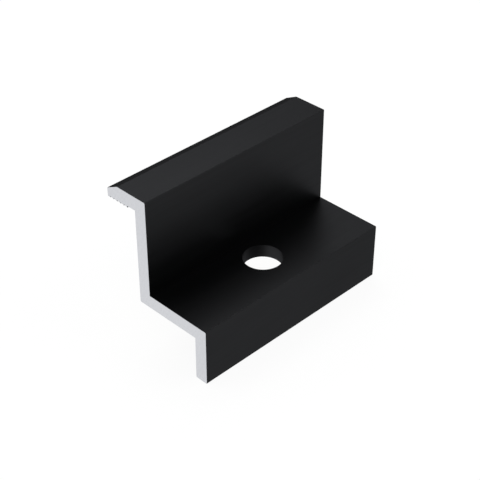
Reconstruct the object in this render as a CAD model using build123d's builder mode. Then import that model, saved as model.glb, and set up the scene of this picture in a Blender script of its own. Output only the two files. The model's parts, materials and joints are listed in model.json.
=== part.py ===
"""End clamp for the edge of a solar module, cut from one extruded aluminium profile.

Seen along the extrusion the section is a stepped Z. A lip with a saw-toothed underside hooks over the
module's frame, a web stands against the frame's side, and a shelf with the bolt hole ends in a leg that
stands on the rail.

The frame has +Z up along the bolt and +Y along the extrusion. The lip points to -X and the leg is at +X.
The origin is the centre of the bolt hole, on the face that the bolt's head or washer sits on.
Lengths are in millimetres.
"""
from build123d import *
import os

# Length cut from the profile
LENGTH = 50.0

# Walls of the section
WALL = 3.0
LIP_THICKNESS = 3.1

# Heights above the rail
OVERALL_HEIGHT = 35.0
SHELF_HEIGHT = 13.0

# Reach of the lip beyond the web, and of the shelf and leg from the web's other side
LIP_REACH = 8.0
SHELF_REACH = 16.0

# Slope that thins the lip's top towards its tip
LIP_SLOPE_RUN = 3.0
LIP_SLOPE_FALL = 1.5

# Grip under the lip: a raised band of saw teeth, a plain strip between it and the web, and the least
# width left plain at the tip
GRIP_RELIEF = 2.2
GRIP_STANDOFF = 0.35
TOOTH_PITCH = 1.0
TOOTH_DEPTH = 0.25
LEAST_TIP_LAND = 0.5

# Bolt hole, with clearance for the bolt, and its distance from the web
BOLT_DIAMETER = 8.0
BOLT_CLEARANCE = 0.5
HOLE_FROM_WEB = 6.7

# Small edges: the die rounds the outer corners and leaves the inner ones sharp, and deburring breaks the
# edges of the sawn ends
OUTER_RADIUS = 0.2
SHARP = 0.0
END_BREAK = 0.05

# Places across the section, from the hole's axis
web_bolt_side = -HOLE_FROM_WEB
web_module_side = web_bolt_side - WALL
lip_tip = web_module_side - LIP_REACH
slope_start = lip_tip + LIP_SLOPE_RUN
grip_end = web_module_side - GRIP_RELIEF
leg_outside = web_bolt_side + SHELF_REACH
leg_inside = leg_outside - WALL

# Levels of the section, from the bolt's seat
seat = 0.0
shelf_underside = seat - WALL
foot = seat - SHELF_HEIGHT
lip_top = foot + OVERALL_HEIGHT
tip_top = lip_top - LIP_SLOPE_FALL
lip_underside = lip_top - LIP_THICKNESS
grip_crest = lip_underside - GRIP_STANDOFF

# Corners of the section in order, each with the radius that the die leaves there
corners = [
    ((leg_outside, foot), OUTER_RADIUS),
    ((leg_outside, seat), OUTER_RADIUS),
    ((web_bolt_side, seat), SHARP),
    ((web_bolt_side, lip_top), OUTER_RADIUS),
    ((slope_start, lip_top), OUTER_RADIUS),
    ((lip_tip, tip_top), OUTER_RADIUS),
    ((lip_tip, grip_crest), OUTER_RADIUS),
    ((grip_end, grip_crest), SHARP),
    ((grip_end, lip_underside), SHARP),
    ((web_module_side, lip_underside), SHARP),
    ((web_module_side, shelf_underside), OUTER_RADIUS),
    ((leg_inside, shelf_underside), SHARP),
    ((leg_inside, foot), OUTER_RADIUS),
]

# Teeth of the grip: each notch rises upright on its tip side and slopes down to the next crest, so the
# upright faces look towards the web and hold the frame from sliding out
grip_width = grip_end - lip_tip
notch_count = int((grip_width - LEAST_TIP_LAND) / TOOTH_PITCH)
notch_places = [(grip_end - (i + 1) * TOOTH_PITCH, grip_crest) for i in range(notch_count)]

with BuildPart() as end_clamp:
    with BuildSketch(Plane.XZ):
        with BuildLine():
            places = [place for place, radius in corners]
            radii = [radius for place, radius in corners]
            FilletPolyline(places, radius=radii, close=True)
        make_face()
        with Locations(*notch_places):
            Polygon((0, 0), (0, TOOTH_DEPTH), (TOOTH_PITCH, 0), align=None, mode=Mode.SUBTRACT)
    extrude(amount=LENGTH / 2, both=True)

    # Both sawn ends are deburred all round
    sawn_ends = end_clamp.faces().filter_by(Axis.Y).sort_by(Axis.Y)
    chamfer(sawn_ends[0].edges() + sawn_ends[-1].edges(), END_BREAK)

    # The bolt hole goes through the shelf alone, from the seat down
    Hole((BOLT_DIAMETER + BOLT_CLEARANCE) / 2, depth=WALL)

end_clamp.part.label = "end_clamp"

os.makedirs("parts", exist_ok=True)
export_step(end_clamp.part, "parts/end_clamp.step")

print(f"grip: {notch_count} notches, {grip_width - notch_count * TOOTH_PITCH:.2f} mm of land at the tip")
print(f"crest to rail: {grip_crest - foot:.2f} mm, volume {end_clamp.part.volume:.0f} mm3")
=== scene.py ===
# %% [markdown]
# # A solar end clamp, from its die to its finish
#
# An end clamp holds the outer edge of the last solar module in a row. It is one piece of metal. A long
# bar of aluminium is pressed through a die that has the clamp's section cut in it. The bar is drilled, it
# is dyed black in an anodising bath, and last it is sawn into short lengths. So three things make the
# look: the section, which never changes along the length, the black skin on every face that the bath
# reached, and the two bare grey ends where the saw went through.
#
# The lesson starts with the frame that the clamp has to fit and with the camera. Then come the three
# finishes, the section drawn by Geometry Nodes, the studio and the colour management.

# %% Load the frame
import json
import math

import bpy
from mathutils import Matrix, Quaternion, Vector


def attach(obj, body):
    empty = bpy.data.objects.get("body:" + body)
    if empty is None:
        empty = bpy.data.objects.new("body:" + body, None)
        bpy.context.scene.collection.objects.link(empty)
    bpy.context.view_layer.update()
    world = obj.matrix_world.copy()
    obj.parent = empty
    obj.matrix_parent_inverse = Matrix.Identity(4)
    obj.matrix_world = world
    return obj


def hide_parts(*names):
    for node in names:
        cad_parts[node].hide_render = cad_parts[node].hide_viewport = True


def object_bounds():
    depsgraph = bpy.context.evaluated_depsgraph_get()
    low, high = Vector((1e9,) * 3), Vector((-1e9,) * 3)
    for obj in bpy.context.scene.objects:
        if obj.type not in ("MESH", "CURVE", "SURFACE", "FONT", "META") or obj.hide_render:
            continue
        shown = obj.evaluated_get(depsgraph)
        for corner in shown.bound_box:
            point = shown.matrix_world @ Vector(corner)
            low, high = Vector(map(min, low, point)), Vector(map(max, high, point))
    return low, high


MM = 0.001

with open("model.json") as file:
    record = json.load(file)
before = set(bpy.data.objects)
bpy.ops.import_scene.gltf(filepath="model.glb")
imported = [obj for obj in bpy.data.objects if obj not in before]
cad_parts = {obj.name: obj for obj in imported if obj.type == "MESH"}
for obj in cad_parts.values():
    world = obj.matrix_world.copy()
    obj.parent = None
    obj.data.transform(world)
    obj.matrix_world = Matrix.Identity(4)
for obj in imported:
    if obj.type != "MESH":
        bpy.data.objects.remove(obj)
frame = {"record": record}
cad_low, cad_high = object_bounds()
print("frame box, mm:", [round(c / MM, 2) for c in (*cad_low, *cad_high)])

# %% [markdown]
# ## Sizes
#
# The frame says how large the clamp is and where its working faces are. Its mounts are the places that
# touch other parts: the bolt hole, the foot, the side that meets the module and the grip. Reading the
# sizes from them keeps this model and the frame together: a taller frame gives a taller clamp here.
# What the frame doesn't state, such as the slope on the lip and the teeth, is written out.
#
# Millimetres are the natural unit for a drawing of a die, so the section is drawn in them and brought
# to Blender's metres in one step at the end.

# %% Sizes of the clamp, in millimetres
mounts = {mount["name"]: mount for mount in frame["record"]["mounts"]}
hole = mounts["bolt_hole"]["dims"]
wall = hole["length_mm"]
module_side = mounts["module_side"]["pos_m"][0] / MM
crest_level = mounts["module_grip"]["pos_m"][2] / MM
lip_top = cad_high.z / MM
lip_thickness = 3.1

sizes = {
    "Length": (cad_high.y - cad_low.y) / MM,
    "Wall": wall,
    "Lip thickness": lip_thickness,
    "Overall height": (cad_high.z - cad_low.z) / MM,
    "Shelf height": -cad_low.z / MM,
    "Lip reach": module_side - cad_low.x / MM,
    "Shelf reach": cad_high.x / MM - module_side - wall,
    "Lip slope run": 3.0,
    "Lip slope fall": 1.5,
    "Grip relief": 2.2,
    "Grip standoff": lip_top - lip_thickness - crest_level,
    "Tooth pitch": 1.0,
    "Tooth depth": 0.25,
    "Notches": 5,
    "Hole radius": hole["r_mm"],
    "Hole from web": -module_side - wall,
    "Outer radius": 0.2,
}
for name, size in sizes.items():
    print(f"{name:16s}{size:8.2f}")

# %% [markdown]
# ## The camera
#
# The photograph looks down on the clamp from its open side with a long lens, nearly the view of an
# isometric drawing. The camera here was worked out from the clamp's own straight edges: once the lengths
# of enough edges are known, only one place and one lens puts all of them where the picture has them.
# It is written as a surveyor would note it: what it aims at, how far away it stands, its bearing and its
# height angle.

# %% Camera
AIM = Vector((-0.00474, -0.00192, 0.00291))
BEARING = 45.427
HEIGHT_ANGLE = 35.635
ROLL = -0.206
DISTANCE = 0.24889
LENS = 90.788
SENSOR = 36.0
NEAREST = 0.01
FARTHEST = 20.0

camera = bpy.data.objects.new("camera", bpy.data.cameras.new("camera"))
bpy.context.scene.collection.objects.link(camera)
bpy.context.scene.camera = camera
camera.data.lens = LENS
camera.data.sensor_width = SENSOR
camera.data.clip_start = NEAREST
camera.data.clip_end = FARTHEST

bearing = math.radians(BEARING)
height_angle = math.radians(HEIGHT_ANGLE)
towards_camera = Vector((
    math.sin(bearing) * math.cos(height_angle),
    -math.cos(bearing) * math.cos(height_angle),
    math.sin(height_angle),
))
camera.location = AIM + towards_camera * DISTANCE
camera.rotation_mode = "QUATERNION"
roll = Quaternion((0, 0, 1), math.radians(ROLL))
camera.rotation_quaternion = towards_camera.to_track_quat("Z", "Y") @ roll
print("camera at, mm:", [round(c / MM, 1) for c in camera.location])

# %% [markdown]
# ## Three finishes
#
# The clamp wears three finishes: the black skin over pressed metal, the same skin over the drilled wall
# of the hole, and bare sawn metal. Each one gets a material made of nodes.
#
# Written out in full, most lines of such a recipe only say which output goes into which input. Two
# helpers take that over: one wires a value or a socket into an input, and one adds a node and feeds the
# inputs that are named. A third starts a new material.

# %% Helpers for node trees
def feed(tree, socket, value):
    """Wires another node's output into the socket, or sets the socket to a plain value."""
    if isinstance(value, bpy.types.NodeSocket):
        tree.links.new(value, socket)
    else:
        socket.default_value = value


def add(tree, kind, settings=None, **inputs):
    """Adds a node, gives it its settings, and feeds the inputs that are named."""
    node = tree.nodes.new(kind)
    for setting, value in (settings or {}).items():
        setattr(node, setting, value)
    for name, value in inputs.items():
        feed(tree, node.inputs[name.replace("_", " ")], value)
    return node


def start_material(name, kind):
    """A new material with one shader of that kind wired to its output."""
    material = bpy.data.materials.new(name)
    material.use_nodes = True
    tree = material.node_tree
    tree.nodes.clear()
    shader = tree.nodes.new(kind)
    output = tree.nodes.new("ShaderNodeOutputMaterial")
    tree.links.new(shader.outputs["BSDF"], output.inputs["Surface"])
    return material, tree, shader


# %% [markdown]
# Every pattern on the clamp is read in Object coordinates, which are simply metres on the piece itself. A
# pattern then has a real size: a scale of 1 / 0.0004 gives spots about 0.4 mm apart. A Mapping node that
# squeezes one axis turns round spots into lines, which is how a die's scratches are made.
#
# A noise value seldom comes near 0 or 1. Nearly all of them lie between 0.3 and 0.7, so that stretch is
# spread over the range that a finish asks for.

# %% Noise with a real size
USUAL_LOW = 0.3
USUAL_HIGH = 0.7


def stretched_noise(tree, spot, detail):
    """Noise in Object coordinates whose spots measure spot = (x, y, z) in metres."""
    place = tree.nodes.new("ShaderNodeTexCoord").outputs["Object"]
    squeeze = add(tree, "ShaderNodeMapping", Vector=place, Scale=[1 / length for length in spot])
    noise = add(tree, "ShaderNodeTexNoise", Vector=squeeze.outputs["Vector"], Scale=1.0, Detail=detail)
    return noise.outputs["Fac"]


def spread(tree, value, low, high):
    """Maps the usual range of a noise value onto low to high."""
    ranged = add(tree, "ShaderNodeMapRange", Value=value, From_Min=USUAL_LOW, From_Max=USUAL_HIGH,
                 To_Min=low, To_Max=high)
    return ranged.outputs["Result"]


# %% [markdown]
# Colours are blended by a Mix node. It repeats the same socket names for numbers, vectors and colours, so
# a name would find the number's socket, and the ones for colours are asked for by their position.

# %% A blend of two colours
MIX_SHARE = 0
MIX_FIRST = 6
MIX_SECOND = 7
MIX_RESULT = 2


def mix_colours(tree, share, first, second):
    """The first colour where the share is 0, and the second where it is 1."""
    node = add(tree, "ShaderNodeMix", {"data_type": "RGBA"})
    feed(tree, node.inputs[MIX_SHARE], share)
    feed(tree, node.inputs[MIX_FIRST], first)
    feed(tree, node.inputs[MIX_SECOND], second)
    return node.outputs[MIX_RESULT]


# %% [markdown]
# ### Black anodised aluminium
#
# Anodising grows a hard layer of oxide on the metal and fills its pores with black dye. What comes back
# to the eye is only a weak reflection, spread out by the etching before the bath, and so a face looks
# grey where it faces something bright and falls to pure black in the inner corner, where the clamp only
# sees itself. A plain dark grey paint would stay grey there.
#
# The photograph shows one thing more. The slope at the lip and the sides of the hole are seen at a
# glance, and yet they are no brighter than the faces that are seen squarely. A Principled shader always
# brightens at a glance, as glass and varnish do. The older Glossy shader sends back the same share of
# the light from every angle, and its colour is that share: here one fortieth, faintly blue.
#
# The tool that shaped the metal leaves its lines under the skin. They are noise squeezed until its spots
# are long and thin, and they move the roughness and the bump a little, never the colour. A finer, even
# grain on top is the etched surface, and slow clouds in the dye keep the colour from being quite even.

# %% The black skin
ETCHED_GRAIN = (0.00012, 0.00012, 0.00012)
DYE_CLOUD = (0.006, 0.014, 0.006)
SKIN_ROUGHNESS = (0.38, 0.46)
GRAIN_STRENGTH = 0.10
LINE_STRENGTH = 0.25
BUMP_HEIGHT = 0.00002


def black_skin(name, tool_mark, darker, lighter):
    """The dyed skin over metal whose tool marks measure tool_mark = (x, y, z) in metres."""
    material, tree, shader = start_material(name, "ShaderNodeBsdfAnisotropic")
    marks = stretched_noise(tree, tool_mark, detail=4.0)
    etched = stretched_noise(tree, ETCHED_GRAIN, detail=2.0)
    clouds = stretched_noise(tree, DYE_CLOUD, detail=2.0)
    feed(tree, shader.inputs["Color"], mix_colours(tree, clouds, darker, lighter))
    feed(tree, shader.inputs["Roughness"], spread(tree, marks, *SKIN_ROUGHNESS))

    grain = add(tree, "ShaderNodeBump", Height=etched, Strength=GRAIN_STRENGTH, Distance=BUMP_HEIGHT)
    lines = add(tree, "ShaderNodeBump", Height=marks, Strength=LINE_STRENGTH, Distance=BUMP_HEIGHT,
                Normal=grain.outputs["Normal"])
    feed(tree, shader.inputs["Normal"], lines.outputs["Normal"])
    print(name, "has", len(tree.nodes), "nodes round a", shader.type, "shader")
    return material


# %% [markdown]
# On the pressed faces the die's lines run the whole length of the bar. On the wall of the hole the drill
# left rings instead: there the noise changes only along the drill's axis. In the photograph that wall is
# about a quarter brighter than the pressed skin would be in its place, so the drilled skin's colour is
# made that much brighter: the dye is the same, and the extra brightness is light painted into its colour.

# %% Pressed and drilled finishes
DIE_LINE = (0.0005, 0.030, 0.0005)
DRILL_RING = (0.030, 0.030, 0.0002)
PRESSED_DYE = ((0.0224, 0.0229, 0.0242, 1), (0.0251, 0.0256, 0.0271, 1))
# The pressed dye's colours made a quarter brighter: painted light on the wall of the hole.
DRILLED_DYE_WITH_PAINTED_LIGHT = ((0.0281, 0.0286, 0.0303, 1), (0.0314, 0.0320, 0.0339, 1))

pressed = black_skin("black_pressed_aluminium", DIE_LINE, *PRESSED_DYE)
bored = black_skin("black_drilled_aluminium", DRILL_RING, *DRILLED_DYE_WITH_PAINTED_LIGHT)

# %% [markdown]
# ### Sawn aluminium
#
# The ends were cut after the bath, so the metal is bare there. A circular saw leaves faint arcs, all
# struck from the place where the blade's centre passed. The distance from that centre, turned into bands
# by a one-dimensional noise, draws exactly such arcs, and no picture is needed. It is measured across the
# bar alone, because the blade cut straight through.

# %% Arcs of the saw
BLADE_CENTRE = (0.110, 0.0, -0.060)
BLADE_MARK = 0.00035
ACROSS_THE_BAR = (1, 0, 1)

sawn, tree, shader = start_material("sawn_aluminium", "ShaderNodeBsdfPrincipled")
place = tree.nodes.new("ShaderNodeTexCoord").outputs["Object"]
flat_place = add(tree, "ShaderNodeVectorMath", {"operation": "MULTIPLY"})
feed(tree, flat_place.inputs[0], place)
feed(tree, flat_place.inputs[1], ACROSS_THE_BAR)
from_blade = add(tree, "ShaderNodeVectorMath", {"operation": "DISTANCE"})
feed(tree, from_blade.inputs[0], flat_place.outputs["Vector"])
feed(tree, from_blade.inputs[1], BLADE_CENTRE)
bands = add(tree, "ShaderNodeTexNoise", {"noise_dimensions": "1D"}, W=from_blade.outputs["Value"],
            Scale=1 / BLADE_MARK, Detail=3.0)
arcs = bands.outputs["Fac"]
print("arcs of the saw, mm apart:", round(BLADE_MARK / MM, 2))

# %% Sawn finish
METAL_GRAIN = (0.0003, 0.0003, 0.0003)
DULLER_METAL = (0.64, 0.65, 0.68, 1)
BRIGHTER_METAL = (0.68, 0.69, 0.72, 1)
SAWN_ROUGHNESS = (0.30, 0.38)
ARC_STRENGTH = 0.25

grain = spread(tree, stretched_noise(tree, METAL_GRAIN, detail=3.0), 0.0, 1.0)
feed(tree, shader.inputs["Base Color"], mix_colours(tree, grain, DULLER_METAL, BRIGHTER_METAL))
feed(tree, shader.inputs["Metallic"], 1.0)
feed(tree, shader.inputs["Roughness"], spread(tree, arcs, *SAWN_ROUGHNESS))
arc_bump = add(tree, "ShaderNodeBump", Height=arcs, Strength=ARC_STRENGTH, Distance=BUMP_HEIGHT)
feed(tree, shader.inputs["Normal"], arc_bump.outputs["Normal"])
print("sawn_aluminium has", len(tree.nodes), "nodes round a", shader.type, "shader")

# %% [markdown]
# ## The die's section, drawn by rule
#
# The clamp could be cut from boxes, or its outline typed in point by point. Both would hide the rule:
# an extrusion is one outline, swept along a line. So a Geometry Nodes tree draws the outline from the
# clamp's sizes, rounds its corners, fills it, pulls it to length and drills it. Every size is a named
# input of the tree, and changing one in the modifier's panel moves all that follows from it.

# %% The tree and its inputs
profile = bpy.data.node_groups.new("extruded_and_drilled_clamp", "GeometryNodeTree")
profile.interface.new_socket("Geometry", in_out="OUTPUT", socket_type="NodeSocketGeometry")
for name, size in sizes.items():
    kind = "NodeSocketInt" if isinstance(size, int) else "NodeSocketFloat"
    profile.interface.new_socket(name, in_out="INPUT", socket_type=kind)
given = {socket.name: socket for socket in profile.nodes.new("NodeGroupInput").outputs if socket.name}
print("inputs of the tree:", len(given))

# %% [markdown]
# A sum inside the tree is a Math node, and the floor's material needs a few of them as well. One helper
# makes it in any tree, and three short ones make the sums of this tree read like sums.

# %% Sums inside a tree
def calculate(tree, operation, first, second):
    """One Math node, and its result."""
    node = tree.nodes.new("ShaderNodeMath")
    node.operation = operation
    feed(tree, node.inputs[0], first)
    feed(tree, node.inputs[1], second)
    return node.outputs[0]


def plus(first, second):
    return calculate(profile, "ADD", first, second)


def minus(first, second):
    return calculate(profile, "SUBTRACT", first, second)


def times(first, second):
    return calculate(profile, "MULTIPLY", first, second)


# %% [markdown]
# The outline has two kinds of point. Twelve corners each have a place of their own, worked out from the
# sizes: how far across from the hole's axis, and how far up from the seat of the bolt. Each also has the
# radius that the die leaves there. Only the outer ones are rounded. The inner ones show no round in the
# photograph, and so their radius is nothing.

# %% Places across and levels
web_bolt_side = times(given["Hole from web"], -1)
web_module_side = minus(web_bolt_side, given["Wall"])
lip_tip = minus(web_module_side, given["Lip reach"])
slope_start = plus(lip_tip, given["Lip slope run"])
grip_end = minus(web_module_side, given["Grip relief"])
leg_outside = plus(web_bolt_side, given["Shelf reach"])
leg_inside = minus(leg_outside, given["Wall"])

seat = 0.0
shelf_underside = minus(seat, given["Wall"])
foot = minus(seat, given["Shelf height"])
top = plus(foot, given["Overall height"])
tip_top = minus(top, given["Lip slope fall"])
lip_underside = minus(top, given["Lip thickness"])
grip_crest = minus(lip_underside, given["Grip standoff"])
print("nodes so far:", len(profile.nodes))

# %% Corners in order, each with its radius
outer = given["Outer radius"]
sharp = 0.0
corners = [
    (grip_end, lip_underside, sharp),
    (web_module_side, lip_underside, sharp),
    (web_module_side, shelf_underside, outer),
    (leg_inside, shelf_underside, sharp),
    (leg_inside, foot, outer),
    (leg_outside, foot, outer),
    (leg_outside, seat, outer),
    (web_bolt_side, seat, sharp),
    (web_bolt_side, top, outer),
    (slope_start, top, outer),
    (lip_tip, tip_top, outer),
    (lip_tip, grip_crest, outer),
]
print("corners:", len(corners))

# %% [markdown]
# The teeth are the other kind of point, and they follow a rule. Going from the tip towards the web, each
# notch adds two points: one on the crest line, and one above it at the top of the notch's upright face.
# The even points are crests and the odd ones are notch tops, so counting the points is enough to place
# all of them.

# %% The rule for the teeth
index = profile.nodes.new("GeometryNodeInputIndex").outputs["Index"]
tooth_point = minus(index, len(corners))
notch = calculate(profile, "FLOOR", times(tooth_point, 0.5), 0.0)
rise = minus(tooth_point, times(notch, 2))
notches_left = minus(given["Notches"], notch)
tooth_across = minus(grip_end, times(notches_left, given["Tooth pitch"]))
tooth_up = plus(grip_crest, times(rise, given["Tooth depth"]))
print("points of the teeth:", 2 * sizes["Notches"] + 1)

# %% [markdown]
# The points start as a plain row, as many as the outline needs: the twelve corners, two for each notch,
# and the last crest. Set Position then moves each one to its place, which an Index Switch looks up by its
# number in the row. Made a closed curve, the row is the sharp outline, and Fillet Curve rounds it.

# %% Look up a point's place or radius
def point(tree, across, up):
    """A point of the flat drawing: X across the section, and Y up."""
    return add(tree, "ShaderNodeCombineXYZ", X=across, Y=up).outputs["Vector"]


def choose(tree, kind, index, items):
    """The item that the index asks for. Past the end, it gives the last one."""
    node = add(tree, "GeometryNodeIndexSwitch", {"data_type": kind})
    while len(node.index_switch_items) < len(items):
        node.index_switch_items.new()
    feed(tree, node.inputs["Index"], calculate(tree, "MINIMUM", index, len(items) - 1))
    for number, item in enumerate(items):
        feed(tree, node.inputs[str(number)], item)
    return node.outputs["Output"]


# %% Draw the outline
FACETS_OF_A_ROUND = 6

point_count = plus(times(given["Notches"], 2), len(corners) + 1)
row = add(profile, "GeometryNodeMeshLine", Count=point_count)
places = [point(profile, across, up) for across, up, radius in corners]
places.append(point(profile, tooth_across, tooth_up))
placed = add(profile, "GeometryNodeSetPosition", Geometry=row.outputs["Mesh"],
             Position=choose(profile, "VECTOR", index, places))
curve = add(profile, "GeometryNodeMeshToCurve", Mesh=placed.outputs["Geometry"])
closed = add(profile, "GeometryNodeSetSplineCyclic", Geometry=curve.outputs["Curve"], Cyclic=True)
radii = [radius for across, up, radius in corners] + [sharp]
rounded = add(profile, "GeometryNodeFilletCurve", {"mode": "POLY"}, Curve=closed.outputs["Geometry"],
              Count=FACETS_OF_A_ROUND, Radius=choose(profile, "FLOAT", index, radii), Limit_Radius=True)
print("places to choose from:", len(places))

# %% [markdown]
# Filled, the outline is one flat face. Extruded by the length it becomes the bar, but the extrusion
# takes its first face along, so a flipped copy of that face closes the start. The bar was drawn lying
# down and is stood up by a quarter turn about X, which lays its length along Y.

# %% Pull it to length
SAME_PLACE = 0.001
QUARTER_TURN_ABOUT_X = (math.pi / 2, 0, 0)

face = add(profile, "GeometryNodeFillCurve", {"mode": "NGONS"}, Curve=rounded.outputs["Curve"])
pull = add(profile, "ShaderNodeCombineXYZ", Z=given["Length"])
bar = add(profile, "GeometryNodeExtrudeMesh", Mesh=face.outputs["Mesh"], Offset=pull.outputs["Vector"],
          Offset_Scale=1.0, Individual=False)
start_face = add(profile, "GeometryNodeFlipFaces", Mesh=face.outputs["Mesh"])
both = profile.nodes.new("GeometryNodeJoinGeometry")
profile.links.new(bar.outputs["Mesh"], both.inputs["Geometry"])
profile.links.new(start_face.outputs["Mesh"], both.inputs["Geometry"])
whole = add(profile, "GeometryNodeMergeByDistance", Geometry=both.outputs["Geometry"], Distance=SAME_PLACE)
half_length = times(given["Length"], 0.5)
to_middle = add(profile, "ShaderNodeCombineXYZ", Y=half_length)
standing = add(profile, "GeometryNodeTransform", Geometry=whole.outputs["Geometry"],
               Translation=to_middle.outputs["Vector"], Rotation=QUARTER_TURN_ABOUT_X)
print("nodes up to the plain bar:", len(profile.nodes))

# %% [markdown]
# The drill is a plain cylinder, twice as long as the wall is thick, and so it stands out on both sides of
# it. A boolean takes its shape away from the bar and gives the wall that it cuts the material of the
# tool, so the drill wears the drilled finish and leaves it in the hole. Exact arithmetic is asked for,
# because the drill's end faces are parallel to the shelf.

# %% Drill it
FACETS_ROUND_THE_HOLE = 128

drill = add(profile, "GeometryNodeMeshCylinder", Vertices=FACETS_ROUND_THE_HOLE,
            Radius=given["Hole radius"], Depth=times(given["Wall"], 2))
drill_middle = add(profile, "ShaderNodeCombineXYZ", Z=times(given["Wall"], -0.5))
drill_placed = add(profile, "GeometryNodeTransform", Geometry=drill.outputs["Mesh"],
                   Translation=drill_middle.outputs["Vector"])
black_bar = add(profile, "GeometryNodeSetMaterial", Geometry=standing.outputs["Geometry"],
                Material=pressed)
black_drill = add(profile, "GeometryNodeSetMaterial", Geometry=drill_placed.outputs["Geometry"],
                  Material=bored)
drilled = add(profile, "GeometryNodeMeshBoolean", {"operation": "DIFFERENCE", "solver": "EXACT"})
profile.links.new(black_bar.outputs["Geometry"], drilled.inputs["Mesh 1"])
profile.links.new(black_drill.outputs["Geometry"], drilled.inputs["Mesh 2"])
print("a facet of the hole, mm:", round(math.tau * sizes["Hole radius"] / FACETS_ROUND_THE_HOLE, 2))

# %% [markdown]
# Last, the drawing is scaled to metres and its two ends are marked. The edges round them get a bevel
# weight, because that is where a file or a tumbler takes the burr off, and their faces get the bare
# metal. One measure finds both: how far an edge or a face lies from the end of the bar.

# %% Go to metres and mark the sawn ends
CLOSE_TO_END = 0.01 * MM

metres = add(profile, "GeometryNodeTransform", Geometry=drilled.outputs["Mesh"], Scale=(MM, MM, MM))
position = profile.nodes.new("GeometryNodeInputPosition").outputs["Position"]
along = add(profile, "ShaderNodeSeparateXYZ", Vector=position).outputs["Y"]
from_end = minus(times(half_length, MM), calculate(profile, "ABSOLUTE", along, 0.0))
at_end = calculate(profile, "LESS_THAN", from_end, CLOSE_TO_END)
marked = add(profile, "GeometryNodeStoreNamedAttribute", {"data_type": "FLOAT", "domain": "EDGE"},
             Geometry=metres.outputs["Geometry"], Name="bevel_weight_edge", Value=at_end)
print("counts as the end, mm from it:", round(CLOSE_TO_END / MM, 3))

# %% [markdown]
# Shading is made smooth, so that the wall of the hole and the rounded corners look round, and then sharp
# again along the creases. An edge counts as a crease when its two faces turn by more than 32 degrees:
# the facets of the rounds turn by less, and the tips of the teeth by more.

# %% Smooth faces, sharp creases, bare ends
CREASE_ANGLE = math.radians(32)

smooth = add(profile, "GeometryNodeSetShadeSmooth", Geometry=marked.outputs["Geometry"])
edge_angle = profile.nodes.new("GeometryNodeInputMeshEdgeAngle").outputs["Unsigned Angle"]
is_crease = calculate(profile, "GREATER_THAN", edge_angle, CREASE_ANGLE)
creased = add(profile, "GeometryNodeSetShadeSmooth", {"domain": "EDGE"},
              Geometry=smooth.outputs["Geometry"], Selection=is_crease, Shade_Smooth=False)
real = add(profile, "GeometryNodeRealizeInstances", Geometry=creased.outputs["Geometry"])
ends = add(profile, "GeometryNodeSetMaterial", Geometry=real.outputs["Geometry"], Selection=at_end,
           Material=sawn)
result = profile.nodes.new("NodeGroupOutput")
profile.links.new(ends.outputs["Geometry"], result.inputs["Geometry"])
print("nodes in the whole tree:", len(profile.nodes))

# %% [markdown]
# The tree runs in a modifier on an empty mesh. A Bevel after it rounds off the marked edges, and a
# Weighted Normal lets the large flat faces keep their own direction, so that only the narrow rounds
# between them are shaded as curved.

# %% Run the tree and break the end's edges
END_BREAK = 0.05
FACETS_OF_A_BREAK = 2

carrier = bpy.data.objects.new("clamp_drawing", bpy.data.meshes.new("clamp_drawing"))
bpy.context.scene.collection.objects.link(carrier)
draw = carrier.modifiers.new("extrusion", "NODES")
draw.node_group = profile
for socket in profile.interface.items_tree:
    if socket.in_out == "INPUT":
        draw[socket.identifier] = sizes[socket.name]

deburr = carrier.modifiers.new("deburr", "BEVEL")
deburr.limit_method = "WEIGHT"
deburr.width = END_BREAK * MM
deburr.segments = FACETS_OF_A_BREAK
deburr.use_clamp_overlap = False

flats = carrier.modifiers.new("flats", "WEIGHTED_NORMAL")
flats.keep_sharp = True
print("modifiers:", [modifier.name for modifier in carrier.modifiers])

# %% [markdown]
# The evaluated result is taken as a plain mesh. Its first material slot is empty, left by the nodes that
# make a mesh from nothing, and no face uses it, so it goes.

# %% Keep the result as a plain mesh
evaluated = carrier.evaluated_get(bpy.context.evaluated_depsgraph_get())
clamp_mesh = bpy.data.meshes.new_from_object(evaluated)
clamp_mesh.materials.pop(index=0)
clamp = bpy.data.objects.new("clamp_body", clamp_mesh)
bpy.context.scene.collection.objects.link(clamp)
bpy.data.objects.remove(carrier)
clamp_mesh.name = "clamp_body"
print("clamp:", len(clamp_mesh.vertices), "points,", len(clamp_mesh.polygons), "faces,",
      [material.name for material in clamp_mesh.materials])

# %% [markdown]
# The new piece stands for the frame's plain node, which stays for the physics and is hidden here.

# %% Hand the piece to the frame
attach(clamp, "root")
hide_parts("end_clamp")
print(clamp.name, "stands for end_clamp")

# %% [markdown]
# ## The studio
#
# A dark part shows its form only through what its faces reflect, so the studio is built for reflections.
# An even, pale room lights everything softly. One large lamp above, behind and to the left is what the
# upward faces see, and makes them a little lighter than the sides. A weaker one on the right is seen only
# in the small rounds between a top and a side. Without it each of them would be a thin dark line.
#
# Two more lamps stand on the camera's side. A face sends a lamp's light on to the far side, so this
# camera hardly sees them, but they light the tops for anyone who walks round to the back.

# %% World
ROOM_LIGHT = 0.36
WHITE = (1, 1, 1, 1)

world = bpy.data.worlds.new("studio")
bpy.context.scene.world = world
world.use_nodes = True
tree = world.node_tree
tree.nodes.clear()
room = add(tree, "ShaderNodeBackground", Color=WHITE, Strength=ROOM_LIGHT)
output = add(tree, "ShaderNodeOutputWorld")
tree.links.new(room.outputs["Background"], output.inputs["Surface"])
print("level of the room:", ROOM_LIGHT)

# %% Soft lamps
LAMP_SIZE = 0.5


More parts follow.
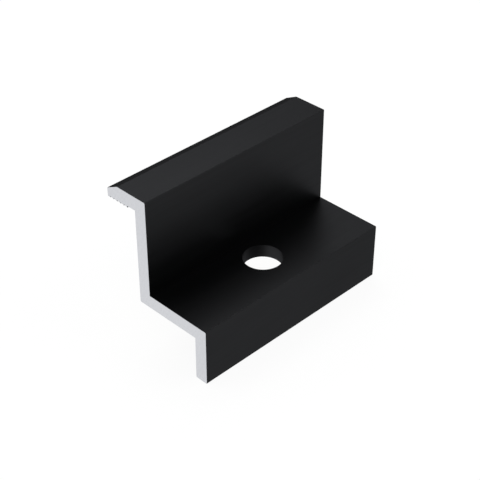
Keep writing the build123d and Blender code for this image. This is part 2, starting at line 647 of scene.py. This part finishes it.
def soft_lamp(name, place, watts):
    """A round lamp that stands at the place and faces the clamp."""
    lamp = bpy.data.objects.new(name, bpy.data.lights.new(name, "AREA"))
    bpy.context.scene.collection.objects.link(lamp)
    lamp.data.shape = "DISK"
    lamp.data.size = LAMP_SIZE
    lamp.data.energy = watts
    lamp.location = place
    lamp.rotation_mode = "QUATERNION"
    lamp.rotation_quaternion = lamp.location.to_track_quat("Z", "Y")
    print(name, "stands", round(lamp.location.length, 2), "m away")


soft_lamp("lamp_for_the_tops", (-0.32, 0.235, 0.55), 1.40)
soft_lamp("lamp_for_the_edges", (0.35, 0.35, 0.34), 0.65)
soft_lamp("lamp_in_front", (0.28, -0.35, 0.50), 0.80)
soft_lamp("lamp_at_the_lip", (-0.35, -0.28, 0.50), 0.80)

# %% [markdown]
# ### The floor
#
# The floor is pale paper. It turns white for the rays that show it: the camera's own, and those that come
# by way of a mirror or through glass. The upright faces look down at it, and so they get an even dark
# grey. A small share of its matte paper stays in the mix, and that keeps the shadow. Far out the white
# sinks to the level of the room's own light, so the floor runs into the room without an edge.

# %% Lay the floor
FLOOR_HALF_WIDTH = 2.0

floor_mesh = bpy.data.meshes.new("floor")
signs = [(-1, -1), (1, -1), (1, 1), (-1, 1)]
floor_corners = [(FLOOR_HALF_WIDTH * x, FLOOR_HALF_WIDTH * y, cad_low.z) for x, y in signs]
floor_mesh.from_pydata(floor_corners, [], [(0, 1, 2, 3)])
floor = bpy.data.objects.new("floor", floor_mesh)
bpy.context.scene.collection.objects.link(floor)
print("floor at, mm:", round(cad_low.z / MM, 2))

# %% Rays that show the floor, and its level for them
WHITE_STRENGTH = 1.05
WHITE_TO = 0.45
ROOM_FROM = 1.80

pale = bpy.data.materials.new("pale_floor")
pale.use_nodes = True
tree = pale.node_tree
tree.nodes.clear()
rays = tree.nodes.new("ShaderNodeLightPath")
shown = calculate(tree, "MAXIMUM", rays.outputs["Is Camera Ray"], rays.outputs["Is Glossy Ray"])
shown = calculate(tree, "MAXIMUM", shown, rays.outputs["Is Transmission Ray"])
place = tree.nodes.new("ShaderNodeTexCoord").outputs["Object"]
distance = add(tree, "ShaderNodeVectorMath", {"operation": "LENGTH"}, Vector=place)
glow = add(tree, "ShaderNodeMapRange", {"interpolation_type": "SMOOTHSTEP"},
           Value=distance.outputs["Value"], From_Min=WHITE_TO, From_Max=ROOM_FROM,
           To_Min=WHITE_STRENGTH, To_Max=ROOM_LIGHT)
print("white as far as", WHITE_TO, "m, the room's level from", ROOM_FROM, "m")

# %% Paper under the white
PAPER_COLOUR = (0.80, 0.80, 0.80, 1)
WHITE_SHARE = 0.88

paper = add(tree, "ShaderNodeBsdfDiffuse", Color=PAPER_COLOUR)
white = add(tree, "ShaderNodeEmission", Color=WHITE, Strength=glow.outputs["Result"])
surface = add(tree, "ShaderNodeMixShader", Fac=calculate(tree, "MULTIPLY", shown, WHITE_SHARE))
tree.links.new(paper.outputs["BSDF"], surface.inputs[1])
tree.links.new(white.outputs["Emission"], surface.inputs[2])
output = add(tree, "ShaderNodeOutputMaterial")
tree.links.new(surface.outputs["Shader"], output.inputs["Surface"])
floor_mesh.materials.append(pale)
print("share of the paper:", round(1 - WHITE_SHARE, 2))

# %% [markdown]
# The Standard view shows each colour as it was written. A view made for film would grey the white floor.

# %% Colour management
view = bpy.context.scene.view_settings
view.view_transform = "Standard"
print("view transform:", view.view_transform)
